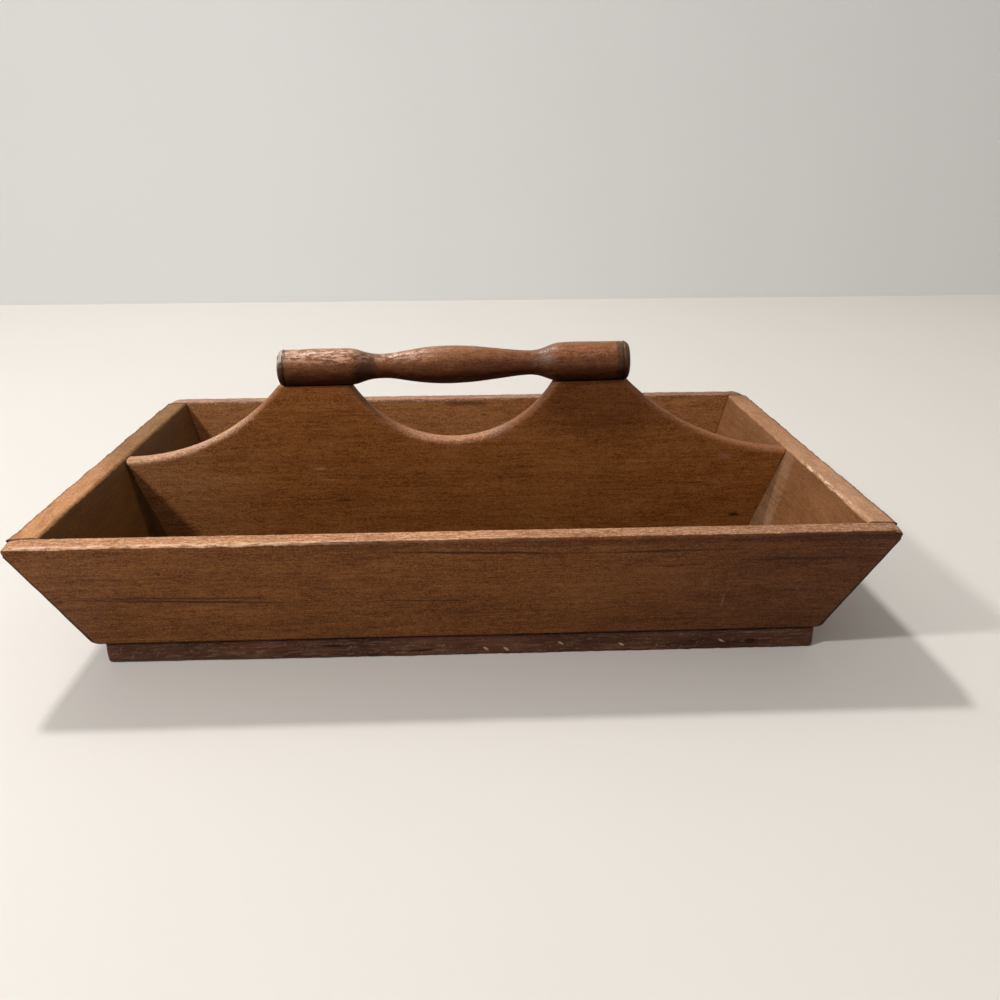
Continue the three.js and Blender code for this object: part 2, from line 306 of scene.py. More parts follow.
def bottom_finish():
    material, place = start_finish("red bottom wood")
    grain = wander(place, 2, 50, 1)
    clouds = streaks(grain, 50, 20, 2, 3)
    lines = streaks(grain, 40, 1.2, 3, 3)
    fibres = streaks(grain, 9, 0.4, 4)
    tone = clouds * 1.6 + lines * 0.9 + fibres * 0.6 - 1.05
    wood = tone.node("ValToRGB", {"stops": [
        (0.1, (0.028, 0.009, 0.005)), (0.5, (0.075, 0.027, 0.014)), (0.95, (0.15, 0.062, 0.034)),
    ]}, {0: tone})
    rubbed = streaks(place, 40, 20, 5).between(0.34, 0.56)
    scuffs = streaks(grain, 8, 1.0, 6, 4).between(0.50, 0.64) * rubbed
    slanting = wander(place, 3, 9, 7).turned((0, 0.9, 0))
    scratches = streaks(slanting, 6, 0.5, 8, 1).between(0.68, 0.74)
    colour = (scuffs * 0.6).mix(wood, (0.19, 0.115, 0.075))
    colour = (scratches * 0.7).mix(colour, (0.36, 0.24, 0.17))
    colour = colour.tint(place.axis(2).between(10.1, 10.9), (0.25, 0.22, 0.2))
    dent = 0.0
    for x, z in ((11.5, 3.2), (21.6, 2.6), (48.7, 5.6), (78.9, 3.5), (129, 4.4)):
        nick = mark(grain, (x, -105, z), (2.2, 4, 0.8), 0.3, 0.6)
        colour = (nick * 0.8).mix(colour, (0.50, 0.34, 0.22))
    for x, z, reach in ((144, 4, (4, 5, 2)), (-62.6, 6.8, (8, 5, 1)), (-20.5, 3.7, (9, 5, 0.8))):
        dent = mark(grain, (x, -105, z), reach) + dent
    colour = (dent * 0.85).mix(colour, (0.016, 0.006, 0.004))
    height = scuffs * -0.15 + scratches * -0.1 + dent * -0.4 + lines * 0.2 + fibres * 0.06
    surface(material, colour, 0.55 + 0.3 * scuffs, height)
    return material


bottom = sawn_block("bottom_board_sawn", (-bottom_half[0], -bottom_half[1], 0),
                    (bottom_half[0], bottom_half[1], bottom_thickness))
bpy.ops.object.mode_set(mode='EDIT')
pick(bottom, 'edges', lambda e: run(e).z > mm)
round_edges(bottom_corner, 4)
pick(bottom, 'edges', lambda e: run(e).z < slack)
round_edges(bottom_arris, 3)
pick(bottom, 'faces', lambda f: abs(f.normal.z) > 0.99)
bpy.ops.mesh.inset(thickness=5 * mm)
for axis, cuts in ((0, 84), (1, 50)):
    at_edge = lambda p: abs(p[1 - axis]) > bottom_half[1 - axis] - 2 * mm
    divide(bottom, axis, (100 * mm, 400 * mm), cuts, at_edge)
    divide(bottom, axis, (3 * mm, 5 * mm), 2, at_edge)
for level in (2.6, 4, 5.4, 6.8, 8.2, 9.4):
    score((0, 0, level * mm), (0, 0, 1))
bpy.ops.object.mode_set(mode='OBJECT')


def at_side(axis, side):
    """1 at one sawn edge of the bottom and 0 where the board goes on inwards."""
    return lambda p: max(0, 1 - (bottom_half[axis] - side * p[axis]) / (2.5 * mm))


def at_lower_front(p):
    """The lower front edge, which is worn away most towards its left end."""
    low = max(0, 1 - p.z / (6 * mm)) * at_side(1, -1)(p)
    return low * max(0, 0.1 - p.x / bottom_half[0])


def nail_head(name):
    """The middle of a nail's head: the mean of its points that are farthest from the tip."""
    points = [v.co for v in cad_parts[name].data.vertices]
    tip = max(points, key=lambda p: p.z)
    length = max((p - tip).length for p in points)
    head = [p for p in points if (p - tip).length > length - 0.5 * mm]
    return sum(head, Vector()) / len(head)


for axis in (0, 1):
    for side in (-1, 1):
        group = weigh(bottom, "edge", at_side(axis, side))
        wear(bottom, 25 * mm, side * 0.6 * mm, group, 1.5, 'XY'[axis])
        wear(bottom, 4 * mm, side * 0.5 * mm, group, 2.5, 'XY'[axis])
wear(bottom, 45 * mm, -4.4 * mm, weigh(bottom, "lower front", at_lower_front), 0.6, 'Z')
bottom.location.x = bottom_shift
bpy.ops.object.transform_apply(location=True)
heads = [nail_head(name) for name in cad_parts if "bottom" in name and "nail" in name]
bore(bottom, *[rod("nail hole", nail_hole, 2 * nail_hole_depth, (head.x, head.y, 0), (0, 0, 0), 14)
               for head in heads])
finish_piece(bottom, bottom_finish(), "bottom_wood", "bottom_board")


# Front and back boards
# Planed boards that lean out and run the whole length, over the end boards' edges, where they are
# nailed. Rubbing by hands has worn the rim down to pale bare wood and rounded its corners.

rim_half = (202.8 * mm, 130 * mm)
rim_height = 73.3 * mm
foot = 11.6 * mm
half_way_up = 40 * mm
splay = 24.3 * mm
board = 11 * mm
lean = splay / (rim_height - foot)
foot_half = (rim_half[0] - splay, rim_half[1] - splay)
foot_round = 3 * mm
nose_round = 4 * mm
tip_reach = 6.5 * mm
outer_arris = 1.5 * mm
inner_arris = 1.2 * mm


def spread_rim(low_half, high_half, axis):
    """Stretches the picked rim of a board along an axis, from the foot's half length to its own."""
    stretch = [1, 1, 1]
    stretch[axis] = high_half / low_half
    bpy.ops.transform.resize(value=stretch, center_override=(0, 0, rim_height))


def score_levels():
    """Level cuts all the way up a board, closest together under its worn rim."""
    for level in (16, 21, 26, 31, 36, 41, 46, 51, 56, 60, 63.3, 65.8, 67.8, 69.3, 70.5):
        score((0, 0, level * mm), (0, 0, 1))


def splayed_board(name, side):
    """A long board, leaning out to this side of the tote: -1 the front and 1 the back."""
    low, high = sorted((side * foot_half[1], side * (foot_half[1] - board)))
    piece = sawn_block(name, (-foot_half[0], low, foot), (foot_half[0], high, rim_height))
    bpy.ops.object.mode_set(mode='EDIT')
    pick(piece, 'verts', lambda v: v.co.z > half_way_up)
    spread_rim(foot_half[0], rim_half[0], 0)
    bpy.ops.transform.translate(value=(0, side * splay, 0))
    across = lambda e, z: abs(middle(e).z - z) < slack and run(e).y > 5 * mm
    pick(piece, 'edges', lambda e: across(e, foot))
    round_edges(foot_round, 4)
    pick(piece, 'edges', lambda e: across(e, rim_height))
    round_edges(nose_round, 5)
    at_face = lambda p: side * p.y > rim_half[1] - (rim_height - p.z) * lean - 0.02 * mm
    pick(piece, 'edges', lambda e: at_face(middle(e)) and middle(e).z > foot + foot_round)
    round_edges(outer_arris, 4)
    inner_line = rim_half[1] - board + slack
    pick(piece, 'edges', lambda e: min(v.co.z for v in e.verts) > rim_height - slack
         and side * middle(e).y < inner_line and run(e).x > 100 * mm)
    round_edges(inner_arris, 3)
    for end in (-1, 1):
        for inset in (2.6, 3.8, 5.2, 6.8):
            score((end * (rim_half[0] - inset * mm), 0, rim_height), (1, 0, -end * lean))
    divide(piece, 0, (100 * mm, 500 * mm), 95)
    divide(piece, 0, (3 * mm, 5 * mm), 2)
    score_levels()
    for end in (-1, 1):
        blunt_tip(piece, end, side)
    bpy.ops.object.mode_set(mode='OBJECT')
    return piece


def blunt_tip(piece, end, side):
    """Wears one tip of the rim down to a blunt nose."""
    tip = Vector((end * rim_half[0], side * rim_half[1], rim_height))
    pick(piece, 'verts', lambda v: (v.co - tip).length < tip_reach)
    bpy.ops.mesh.vertices_smooth(factor=0.5, repeat=14)


def near_rim(p):
    return max(0, 1 - (rim_height - p.z) / (3.5 * mm))


def near_corner(end, side):
    """1 at one upright corner and on the rim next to it."""
    def share(p):
        lower = 2 * (rim_height - p.z) * lean
        away = rim_half[0] - end * p.x + rim_half[1] - side * p.y - lower
        return max(0, 1 - away / (9 * mm))
    return share


def rub(piece, axis, side):
    """Planing and years of use: shallow hollows all over, and a chipped, rubbed rim."""
    wear(piece, 60 * mm, 0.25 * mm)
    rim = weigh(piece, "rim", near_rim)
    outer_edge = rim_half[axis] - 4 * mm
    outside = weigh(piece, "outside", lambda p: near_rim(p) * (side * p[axis] > outer_edge))
    wear(piece, 40 * mm, 0.25 * mm, rim, 1.2, 'Z')
    wear(piece, 3 * mm, 0.2 * mm, rim, 2, 'Z')
    wear(piece, 20 * mm, side * 0.35 * mm, outside, 1.5, 'XY'[axis])
    wear(piece, 3 * mm, side * (0.5 if axis else 0.2) * mm, outside, 3, 'XY'[axis])
    for end in (-1, 1):
        for across in (-1, 1):
            group = weigh(piece, "corner", near_corner(end, across))
            wear(piece, 6 * mm, end * 0.5 * mm, group, 1.2, 'X')
    ends = weigh(piece, "ends", lambda p: near_rim(p) * (1 - (rim_half[0] - abs(p.x)) / (7 * mm)))
    wear(piece, 9 * mm, 1.8 * mm, ends, 1, 'Z')


def board_wood(place, seed, dark, plain, light, sharp=1.0):
    """The oiled face of a board: its colour and its relief, before any mark on it."""
    grain = wander(place, 4, 110, seed)
    clouds = streaks(grain, 60, 20, seed + 1, 3)
    bands = streaks(grain, 170, 4.5, seed + 2, 3)
    mottle = streaks(grain, 12, 4, seed + 3, 3)
    lines = streaks(grain, 30, 1.2, seed + 4, 3)
    fibres = streaks(grain, 4, 0.9, seed + 5)
    grit = streaks(grain, 0.9, 0.55, seed + 12, 1)
    soft = clouds * 0.6 + bands * 0.3 + mottle * 0.35 - 0.625
    tone = 0.5 + soft + (lines * 0.8 + fibres * 0.9 + grit * 1.6 - 1.65) * sharp
    wood = place.node("ValToRGB", {"stops": [(0.12, dark), (0.5, plain), (0.92, light)]}, {0: tone})
    coarse = streaks(place, 50, 18, seed + 6).between(0.38, 0.58)
    pores = streaks(grain, 3, 0.6, seed + 7, 1).between(0.62, 0.72) * (0.15 + 0.85 * coarse)
    wood = (pores * 0.4).mix(wood, tuple(c * 0.5 for c in dark))
    height = lines * 0.05 + fibres * 0.06 + pores * -0.1 + clouds * 0.08
    return wood, height


def worn_rim(place, seed, bare, worn_edge_highlight, soil=1.0):
    """Where the rim is rubbed bare, and its colour there with dirt, painted highlight specks and a
    bright worn edge that is partly a painted highlight.
    """
    chips = streaks(place, 7, 3, seed, 3)
    level = rim_height / mm
    rubbed = (place.axis(2) + 2.4 * chips - 1.2).between(level - 1.9, level - 1.3)
    patches = streaks(place, 24, 9, seed + 1, 3).between(0.38, 0.62)
    dirt = streaks(place, 9, 0.9, seed + 2, 3).between(0.42, 0.62)
    flecks = streaks(place, 3, 1.1, seed + 3, 3).between(0.42, 0.62)
    specks = streaks(place, 1.0, 0.8, seed + 5, 2).between(0.48, 0.60)
    pale = bare.tint(patches, (1.25, 1.3, 1.4)).tint(dirt * (0.75 * soil), (0.58, 0.47, 0.39))
    pale = pale.tint(flecks * soil, (0.66, 0.57, 0.50)).tint(specks * soil, (0.64, 0.55, 0.48))
    # painted highlight specks on the rubbed rim
    highlight_specks = streaks(place, 1.5, 0.8, seed + 6, 2).between(0.56, 0.66) * (0.4 * soil)
    pale = highlight_specks.mix(pale, (0.80, 0.58, 0.42))
    # the bright worn edge, partly a painted highlight
    glint = worn_edge_highlight * streaks(place, 6, 1.2, seed + 4, 3).between(0.42, 0.54)
    return rubbed, (glint * 0.75).mix(pale, (0.80, 0.55, 0.37))


def on_face(side, x, z, depth=0.0):
    """The point of a long board's face at this height, this deep in it, in millimetres."""
    return (x, side * ((rim_half[1] - (rim_height - z * mm) * lean) / mm - depth), z)


def long_board_finish(name, seed, colours, bare, stains):
    """The finish of a long board.

    Each stain is a centre, a reach, a tilt, a strength and a tint.
    """
    material, place = start_finish(name)
    wood, height = board_wood(place, seed, *colours)
    ragged = wander(place, 1, 14, seed + 10)
    for centre, reach, tilt, strength, tint in stains:
        stain = mark(ragged, centre, reach, 0.3, tilt) * strength
        wood = stain.mix(wood, tint)
        height = height - stain * 0.08
    x, z = place.axis(0), place.axis(2)
    if name.startswith("front"):
        # painted shade: the front board darkens towards its right end
        wood = wood.tint(x.between(20, 165), (0.62, 0.58, 0.74))
    outer = place.axis(1).size()
    # the worn outer edge of the rim, brightened in part by a painted highlight
    worn_edge_highlight = outer.between(126.5, 129) * x.between(60, -60)
    rubbed, pale = worn_rim(place, seed + 20, x.between(-60, 150).mix(*bare), worn_edge_highlight)
    if name.startswith("front"):
        # the outer edge is still dark from the middle to the right, with a dull strip under it
        ragged_edge = outer + 1.2 * streaks(place, 6, 2, seed + 30, 3) - 0.6
        rubbed = rubbed * (1 - ragged_edge.between(128.2, 128.7) * x.between(-105, -35) * 0.92)
        wood = wood.tint(z.between(67.5, 69) * x.between(-100, -50), (0.72, 0.70, 0.80))
    colour = rubbed.mix(wood, pale)
    out = x.size() + (rim_height / mm - z) * lean
    colour = colour.tint(out.between(200.3, 201.4) * 0.95, (0.22, 0.19, 0.18))
    colour = colour.tint(z.between(foot / mm + 1, foot / mm), (0.2, 0.16, 0.14))
    roughness = 0.42 + 0.2 * streaks(place, 40, 25, seed + 9) + 0.15 * rubbed
    surface(material, colour, roughness, height + rubbed * streaks(place, 8, 1, seed + 8) * 0.2)
    return material


ink = (0.030, 0.010, 0.004)
pale_scuff = (0.40, 0.24, 0.15)
front_stains = [
    # two dark lines that run in from the left end, and one under the rim
    (on_face(-1, -123.7, 38.7), (70, 6, 1.1), 0.044, 0.8, ink),
    (on_face(-1, -130.7, 41.1), (64, 6, 1.0), 0.03, 0.65, ink),
    (on_face(-1, -22.8, 36.3), (38, 6, 0.7), 0.01, 0.7, ink),
    (on_face(-1, 11.1, 65.3), (58, 6, 1.0), 0.03, 0.9, ink),
    (on_face(-1, 89.5, 64), (46, 6, 0.8), -0.01, 0.75, ink),
    (on_face(-1, 156.2, 58), (32, 6, 1.4), -0.01, 0.6, ink),
    # small pits and spots
    (on_face(-1, -171.4, 29.1), (3, 5, 1), 0, 0.7, ink),
    (on_face(-1, -137.1, 26), (2.2, 5, 0.9), 0, 0.7, ink),
    (on_face(-1, -135.7, 56.2), (1.6, 5, 0.8), 0, 0.7, ink),
    (on_face(-1, 6.9, 23.7), (1.6, 5, 1), 0, 0.7, ink),
    (on_face(-1, 56.3, 67), (2, 5, 1), 0, 0.7, ink),
    # the stopped heads of the brads at the two ends
    (on_face(-1, -184.4, 40.2), (2.2, 5, 1.6), 0, 0.6, ink),
    (on_face(-1, 187.7, 45.6), (1.8, 5, 1.6), 0, 0.5, ink),
    # a redder swirl round a small knot, with paler wood next to it, and an upright scratch
    (on_face(-1, 33.4, 38.3), (26, 7, 9), 0.2, 0.2, (0.11, 0.032, 0.006)),
    (on_face(-1, 59.5, 40.8), (18, 7, 10), 0.1, 0.2, (0.26, 0.10, 0.03)),
    (on_face(-1, 125.1, 31.5), (0.7, 5, 7), 0.05, 0.35, pale_scuff),
]
front_wood = ((0.075, 0.022, 0.004), (0.166, 0.055, 0.012), (0.26, 0.105, 0.03))
front = splayed_board("front_board_planed", -1)
rub(front, 1, -1)
finish_piece(front, long_board_finish("front board wood", 11, front_wood, (
    (0.56, 0.29, 0.145), (0.37, 0.19, 0.095)), front_stains), "side_wood", "front_board")

back_stains = [
    (on_face(1, 3.4, 69.6, 11), (22, 6, 2.2), 0, 0.6, ink),
    (on_face(1, 180.1, 64.1), (3, 6, 1.4), 0, 0.7, ink),
    (on_face(1, 171, 51.1), (12, 6, 1), 0, 0.6, ink),
    (on_face(1, 16.4, 62.1, 11), (2.5, 6, 1.2), 0, 0.6, ink),
]
back_wood = ((0.15, 0.050, 0.012), (0.27, 0.102, 0.029), (0.38, 0.165, 0.058))
back = splayed_board("back_board_planed", 1)
rub(back, 1, 1)
finish_piece(back, long_board_finish("back board wood", 31, back_wood, (
    (0.46, 0.27, 0.17), (0.30, 0.15, 0.075)), back_stains), "side_wood", "back_board")


# End boards
# They stand between the long boards and lean out the same. A stopped housing is chopped in the
# inner face of each, open at the foot, to take the divider's end. Their rims are rubbed brightest
# towards the front.

joint = 0.3 * mm
end_thickness = 13.4 * mm
divider_thickness = 11 * mm
housing_depth = 3 * mm
housing_top = 61 * mm


def end_board(name, side):
    low, high = sorted((side * foot_half[0], side * (foot_half[0] - end_thickness)))
    foot_edge = foot_half[1] - board - joint
    rim_edge = rim_half[1] - board - joint
    piece = sawn_block(name, (low, -foot_edge, foot), (high, foot_edge, rim_height))
    bpy.ops.object.mode_set(mode='EDIT')
    pick(piece, 'verts', lambda v: v.co.z > half_way_up)
    spread_rim(foot_edge, rim_edge, 1)
    bpy.ops.transform.translate(value=(side * splay, 0, 0))
    inner_line = rim_half[0] - end_thickness + slack
    at_top = lambda e: min(v.co.z for v in e.verts) > rim_height - slack and run(e).y > 100 * mm
    pick(piece, 'edges', lambda e: at_top(e) and side * middle(e).x > inner_line)
    round_edges(outer_arris, 4)
    pick(piece, 'edges', lambda e: at_top(e) and side * middle(e).x < inner_line)
    round_edges(inner_arris, 3)
    divide(piece, 1, (100 * mm, 500 * mm), 60)
    divide(piece, 1, (3 * mm, 5 * mm), 2)
    score_levels()
    bpy.ops.object.mode_set(mode='OBJECT')
    return piece


def housing(side):
    """The block of waste that is chopped out, leaning with the end board."""
    wide = divider_thickness / 2 + joint
    low, high = foot - 5 * mm, housing_top + joint
    at = lambda z: rim_half[0] - end_thickness + housing_depth - (rim_height - z) * lean
    inner, outer = sorted((side * (at(low) - 20 * mm), side * at(low)))
    waste = sawn_block("housing waste", (inner, -wide, low), (outer, wide, high))
    bpy.ops.object.mode_set(mode='EDIT')
    pick(waste, 'verts', lambda v: v.co.z > half_way_up)
    bpy.ops.transform.translate(value=(side * (at(high) - at(low)), 0, 0))
    bpy.ops.object.mode_set(mode='OBJECT')
    return waste


def end_board_finish(name, seed, colours, bare, painted_divider_shadow, soil):
    """The finish of an end board, with its grain along y and its colours towards front and back.

    The divider's painted shadow, in front of it, is this wide at the rim, spreads this much
    downwards and has this tint.
    """
    material, place = start_finish(name)
    along = place.turned((0, 0, math.pi / 2))
    wood, height = board_wood(along, seed, *colours, sharp=0.6)
    y, z = place.axis(1), place.axis(2)
    # the worn inner edge of the rim, brightened in part by a painted highlight
    worn_edge_highlight = place.axis(0).between(190.8, 189.8) * place.axis(0).between(188.4, 189.4)
    worn_edge_highlight = worn_edge_highlight * y.between(-20, -40) * y.between(-105, -85)
    worn_edge_highlight = worn_edge_highlight * streaks(along, 9, 3, seed + 30, 3).between(0.42, 0.56)
    rubbed, pale = worn_rim(along, seed + 20, y.between(-70, 50).mix(*bare), worn_edge_highlight, soil)
    # painted shadow of the divider on the inner face in front of it
    start, spread, tint = painted_divider_shadow
    front_edge = y + (rim_height / mm - z) * spread
    divider_shadow_mask = front_edge.between(-7 - start, -3 - start) * y.between(-5, -6)
    divider_shadow_mask = divider_shadow_mask * (0.35 + 0.65 * front_edge.between(14, -4))
    uneven = 0.6 + 0.4 * streaks(along, 14, 10, seed + 31).between(0.4, 0.6)
    wood = wood.tint(divider_shadow_mask * uneven, tint)
    colour = rubbed.mix(wood, pale)
    colour = colour.tint(place.axis(0).size().between(199.8, 201.6) * 0.85, (0.3, 0.27, 0.25))
    at_joint = (y.size() + (rim_height / mm - z) * lean).between(116.6, 118.2)
    colour = colour.tint(at_joint, (0.32, 0.27, 0.24))
    roughness = 0.45 + 0.2 * streaks(along, 40, 25, seed + 9) + 0.15 * rubbed
    surface(material, colour, roughness, height)
    return material


left_wood = ((0.07, 0.026, 0.006), (0.125, 0.050, 0.012), (0.18, 0.078, 0.024))
right_wood = ((0.11, 0.041, 0.013), (0.19, 0.078, 0.028), (0.27, 0.12, 0.052))
# each end's painted divider shadow: dark on the left end, pale and grey on the right end
for name, side, seed, colours, bare, painted_divider_shadow, soil in (
        ("left_end", -1, 51, left_wood, ((0.44, 0.205, 0.085), (0.22, 0.105, 0.038)),
         (0, 0.5, (0.35, 0.33, 0.35)), 0.45),
        ("right_end", 1, 71, right_wood, ((0.42, 0.225, 0.12), (0.33, 0.16, 0.076)),
         (14, 0.3, (1.3, 1.6, 2.2)), 0.4)):
    end = end_board(name + "_planed", side)
    rub(end, 0, side)
    bore(end, housing(side))
    finish = end_board_finish(name + " wood", seed, colours, bare, painted_divider_shadow, soil)
    finish_piece(end, finish, "side_wood", name)


# Divider
# One board on edge along the middle, its ends in the housings. Its top is sawn to two hollow
# shoulders, two posts and a crescent hand hole, and rounded over all along.

divider_end_height = 71.8 * mm
shoulders = ((-189.5 * mm, 118.1 * mm), (196.2 * mm, 143.7 * mm))
crescent_centre = -3.2 * mm
crescent_radius = 65.6 * mm
crescent_bottom = 81.3 * mm
handle_centre = -1.9 * mm
handle_axis = 123.2 * mm
handle_tilt = math.radians(0.6)
divider_arris = 3 * mm
post_middle = 75 * mm
seat_radii = (10.7 * mm, 11.4 * mm)


def end_at(z):
    """Where the divider's end meets the inner face of the end board at this height."""
    return rim_half[0] - end_thickness - joint - (rim_height - z) * lean


def divider_blank(name, extra, top):
    """A board between the two ends, this much longer than the room between them."""
    half = divider_thickness / 2
    reach = end_at(foot) + extra
    piece = sawn_block(name, (-reach, -half, foot), (reach, half, top))
    bpy.ops.object.mode_set(mode='EDIT')
    pick(piece, 'verts', lambda v: v.co.z > foot + mm)
    bpy.ops.transform.resize(value=((end_at(top) + extra) / reach, 1, 1),
                             center_override=(0, 0, top))
    bpy.ops.object.mode_set(mode='OBJECT')
    return piece


def shaped_divider():
    piece = divider_blank("divider_shaped", 0, handle_axis)
    tongues = divider_blank("tongues", housing_depth, housing_top)
    joined = piece.modifiers.new("tongues", 'BOOLEAN')
    joined.operation = 'UNION'
    joined.object = tongues
    joined.solver = 'MANIFOLD'
    take_up(piece)
    bpy.ops.object.modifier_apply(modifier=joined.name)
    bpy.data.objects.remove(tongues)
    across = (math.pi / 2, 0, 0)
    for (centre, radius), side in zip(shoulders, (-1, 1)):
        bore(piece, rod("shoulder waste", radius, 40 * mm, (centre, 0, divider_end_height + radius),
                        across, 256))
        low, high = sorted((centre, side * 230 * mm))
        bore(piece, sawn_block("end waste", (low, -20 * mm, divider_end_height),
                               (high, 20 * mm, 140 * mm)))
    at = (crescent_centre, 0, crescent_bottom + crescent_radius)
    bore(piece, rod("crescent waste", crescent_radius, 40 * mm, at, across, 160))
    return piece


def on_outline(edge):
    """An edge of the front or back face where the sawn top outline meets it."""
    p = middle(edge)
    at_face = abs(abs(p.y) - divider_thickness / 2) < 0.01 * mm and run(edge).y < 0.01 * mm
    return at_face and abs(p.x) < end_at(p.z) - 0.05 * mm and p.z > housing_top + mm


def divider_finish():
    material, place = start_finish("divider wood")
    x, z = place.axis(0), place.axis(2)
    colours = ((0.12, 0.031, 0.004), (0.245, 0.081, 0.017), (0.34, 0.135, 0.04))
    wood, height = board_wood(place, 91, *colours, sharp=0.85)
    wood = wood.tint(x.between(-90, -175), (1.15, 1.35, 2.0))
    wood = wood.tint(mark(place, (80, 0, 104), (60, 60, 30)), (0.62, 0.58, 0.6))
    ragged = wander(place, 1, 14, 92)
    for centre, reach, strength, tint in (
            ((161.2, -6, 32.3), (5, 4, 1.8), 0.9, ink),
            ((135.9, -6, 52.5), (9, 4, 0.9), 0.6, ink),
            ((-67.3, -6, 45.5), (9, 4, 0.8), 0.7, ink),
            ((-79.8, -6, 65.2), (5, 4, 1.2), 0.6, pale_scuff),
            ((152.5, -6, 68.6), (6, 4, 2.5), 0.25, pale_scuff),
            ((-74.8, -6, 58.5), (9, 4, 0.6), 0.4, pale_scuff)):
        wood = (mark(ragged, centre, reach, 0.3) * strength).mix(wood, tint)
    inside = 90.0
    for centre, radius, low in ((shoulders[0][0], shoulders[0][1], divider_end_height),
                                (shoulders[1][0], shoulders[1][1], divider_end_height),
                                (crescent_centre, crescent_radius, crescent_bottom)):
        off_centre = place.node("Mapping", None, {
            "Vector": place,
            "Location": (-centre / mm, 0, -(low + radius) / mm),
            "Scale": (1, 0, 1),
        })
        reach = place.node("VectorMath", {"operation": 'LENGTH'}, {"Vector": off_centre}, "Value")
        inside = z.math('MINIMUM', reach - radius / mm, inside)
    fuzz = 2.6 * streaks(place, 5, 3, 93, 3) + 3.2 * streaks(place, 1.1, 1.1, 96, 2) - 2.9
    rubbed = (inside + fuzz).between(3.8, 1.2)
    pale = x.between(-80, -110).mix((0.40, 0.20, 0.11), (0.60, 0.35, 0.215))
    in_crescent = mark(place, (-3, 0, 82), (44, 30, 20), 0.5)
    pale = in_crescent.mix(pale, x.between(8, 34).mix((0.54, 0.275, 0.15), (0.34, 0.215, 0.165)))
    pale = pale.tint(streaks(place, 1.2, 0.9, 97, 2).between(0.45, 0.58), (0.62, 0.52, 0.47))
    pale = pale.tint(streaks(place, 8, 1, 94, 3).between(0.45, 0.68), (0.7, 0.62, 0.55))
    strength = 0.3 + 0.65 * mark(place, (-150, 0, 80), (62, 30, 30), 0.6) + 0.65 * in_crescent
    colour = (rubbed * strength).mix(wood, pale)
    surface(material, colour, 0.42 + 0.2 * streaks(place, 40, 25, 95) + 0.1 * rubbed, height)
    return material


divider = shaped_divider()
bpy.ops.object.mode_set(mode='EDIT')
pick(divider, 'edges', on_outline)
round_edges(divider_arris, 5)
for step in range(-94, 95):
    score((step * 2 * mm, 0, 0), (1, 0, 0))
for step in range(1, 24):
    score((0, 0, foot + step * 4.5 * mm), (0, 0, 1))
bpy.ops.object.mode_set(mode='OBJECT')
wear(divider, 50 * mm, 0.3 * mm)
for side, radius in zip((-1, 1), seat_radii):
    off = side * post_middle
    seat = (handle_centre + off, 0, handle_axis + off * math.tan(handle_tilt))
    bore(divider, rod("barrel seat", radius, 100 * mm, seat, (0, math.pi / 2 - handle_tilt, 0), 96))
finish_piece(divider, divider_finish(), "divider_wood", "divider")


# Handle
# Turned in one piece of hardwood, with a barrel over each post, two thin necks and a swelled grip
# between them, and a line scribed near each end. Polished by hands.

handle_half = 97.7 * mm
left_barrel, right_barrel = 10.2 * mm, 10.9 * mm
turned_radii = (
    (-110, 10.2), (-92, 10.2), (-75, 10.4), (-58, 10.2), (-54, 9.6), (-50, 8.3), (-46, 7.3),
    (-41, 6.9), (-35, 7.1), (-26, 8.5), (-15, 10), (-4, 10.6), (7, 10.2), (18, 9.2), (30, 7.8),
    (41, 6.9), (46, 7.3), (50, 8.5), (54, 10), (58, 10.9), (75, 11.1), (92, 10.9), (110, 10.9),
)
body_reach = 91
scribed_line = 4.6 * mm
scribed_depth = 0.45 * mm
end_round = 3 * mm
end_dome = 0.8 * mm


def turned_radius(along):
    """The handle's radius at this place along it, both in millimetres."""
    i = max(j for j, (d, r) in enumerate(turned_radii[:-2]) if d <= along)
    (d_before, r_before), (d0, r0), (d1, r1), (d_after, r_after) = turned_radii[i - 1:i + 3]
    slope0 = (r1 - r_before) / (d1 - d_before)
    slope1 = (r_after - r0) / (d_after - d0)
    wide = d1 - d0
    t = (along - d0) / wide
    return (r0 * (1 + 2 * t) * (1 - t) ** 2 + r1 * t * t * (3 - 2 * t)
            + wide * (slope0 * t * (1 - t) ** 2 - slope1 * t * t * (1 - t)))


def barrel_end(barrel):
    """A barrel's outer end, from its scribed line to the middle of its end face."""
    scribe = handle_half - scribed_line
    end = [(scribe + d * mm, barrel - scribed_depth * depth)
           for d, depth in ((-0.7, 0), (-0.35, 0.3), (-0.15, 1), (0.15, 1), (0.35, 0.3), (0.7, 0))]
    end.append((scribe + 1.2 * mm, barrel))
    for step in range(7):
        turn = step / 6 * math.pi / 2
        end.append((handle_half - end_dome - end_round * (1 - math.sin(turn)),
                    barrel - end_round * (1 - math.cos(turn))))
    edge = barrel - end_round
    return end + [(handle_half - end_dome * share ** 2, edge * share)
                  for share in (0.8, 0.5, 0.25, 0)]


def handle_profile():
    """The turner's profile, as pairs of the place along the axis and the radius there."""
    body = [(d * mm, turned_radius(d) * mm) for d in range(-body_reach, body_reach + 1)]
    return [(-d, r) for d, r in reversed(barrel_end(left_barrel))] + body + barrel_end(right_barrel)


